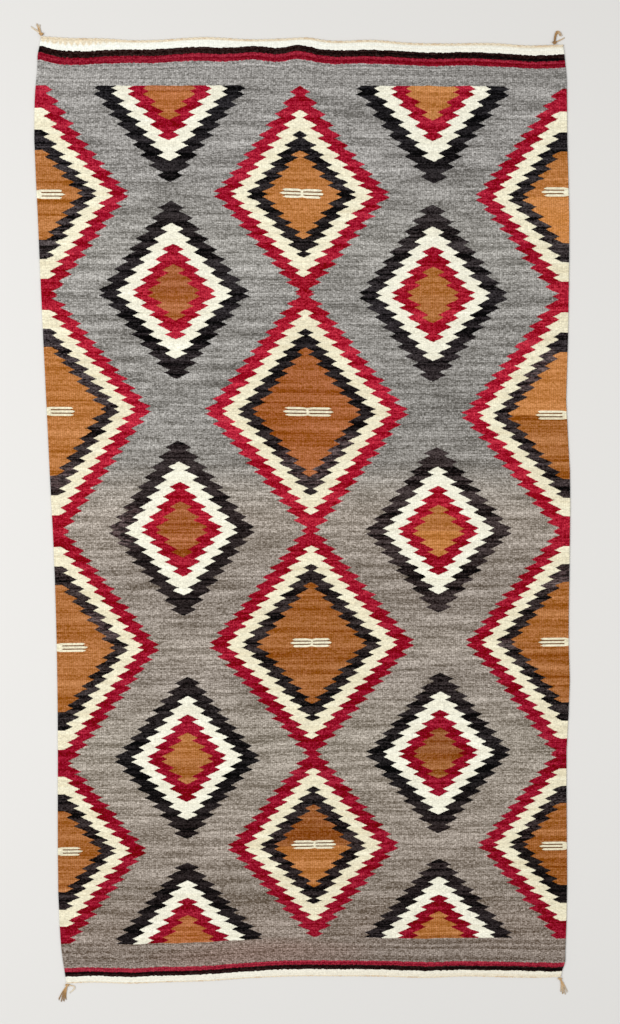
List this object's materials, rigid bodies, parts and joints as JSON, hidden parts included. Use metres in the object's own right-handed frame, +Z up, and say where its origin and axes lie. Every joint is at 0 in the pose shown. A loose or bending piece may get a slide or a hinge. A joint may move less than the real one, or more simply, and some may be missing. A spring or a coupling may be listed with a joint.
{
  "type": "handwoven tapestry rug",
  "caption": "Flat handwoven wool floor rug with nested serrated diamonds on a grey ground, striped ends, a twisted cord along each end and a knotted tassel at each corner.",
  "frame": {"origin": "on the floor under the centre of the rug's bounding box, tassels included", "axes": "X runs across the rug along the wefts, Y along its length towards the top end, Z up from the floor"},
  "size_m": [1.0936, 2.0376, 0.0048],
  "materials": {
    "woven_wool": "matte handspun wool, weft-faced tapestry weave with fine ribs along the length",
    "cord_wool": "matte two-ply twisted wool cord",
    "tassel_wool": "matte wool strands, knotted and loosely untwisted"
  },
  "bodies": {
    "root": {"rug_body": "woven_wool", "end_cord_top": "cord_wool", "end_cord_bottom": "cord_wool", "tassel_top_left": "tassel_wool", "tassel_top_right": "tassel_wool", "tassel_bottom_left": "tassel_wool", "tassel_bottom_right": "tassel_wool"}
  },
  "joints": []
}
